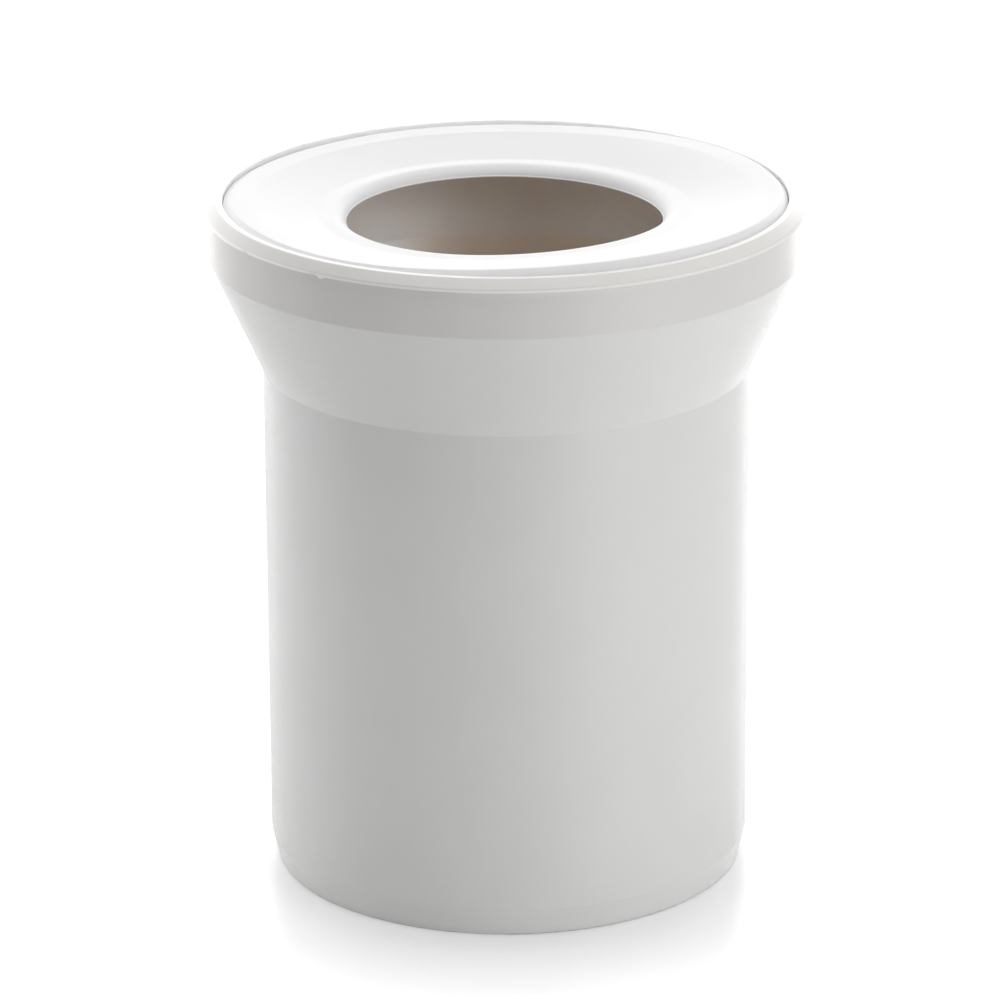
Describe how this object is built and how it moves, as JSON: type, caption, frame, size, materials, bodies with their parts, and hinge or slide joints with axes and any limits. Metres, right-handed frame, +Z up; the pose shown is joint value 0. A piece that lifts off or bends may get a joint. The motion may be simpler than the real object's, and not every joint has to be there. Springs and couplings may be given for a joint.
{
  "type": "toilet pan connector",
  "caption": "Straight white pan connector: plain spigot pipe, cone and collar, capped by a retaining ring that holds a soft dished seal round the pan outlet hole.",
  "frame": {"origin": "centre of the spigot's end, in the plane that it stands on", "axes": "+Z up along the pipe's axis, from the spigot to the pan seal"},
  "size_m": [0.1344, 0.1344, 0.157],
  "materials": {
    "connector_body": "satin white polypropylene",
    "retaining_ring": "satin warm white plastic",
    "pan_seal": "smooth white rubber"
  },
  "bodies": {
    "root": {"connector_body": "connector_body", "retaining_ring": "retaining_ring", "pan_seal": "pan_seal"}
  },
  "joints": []
}
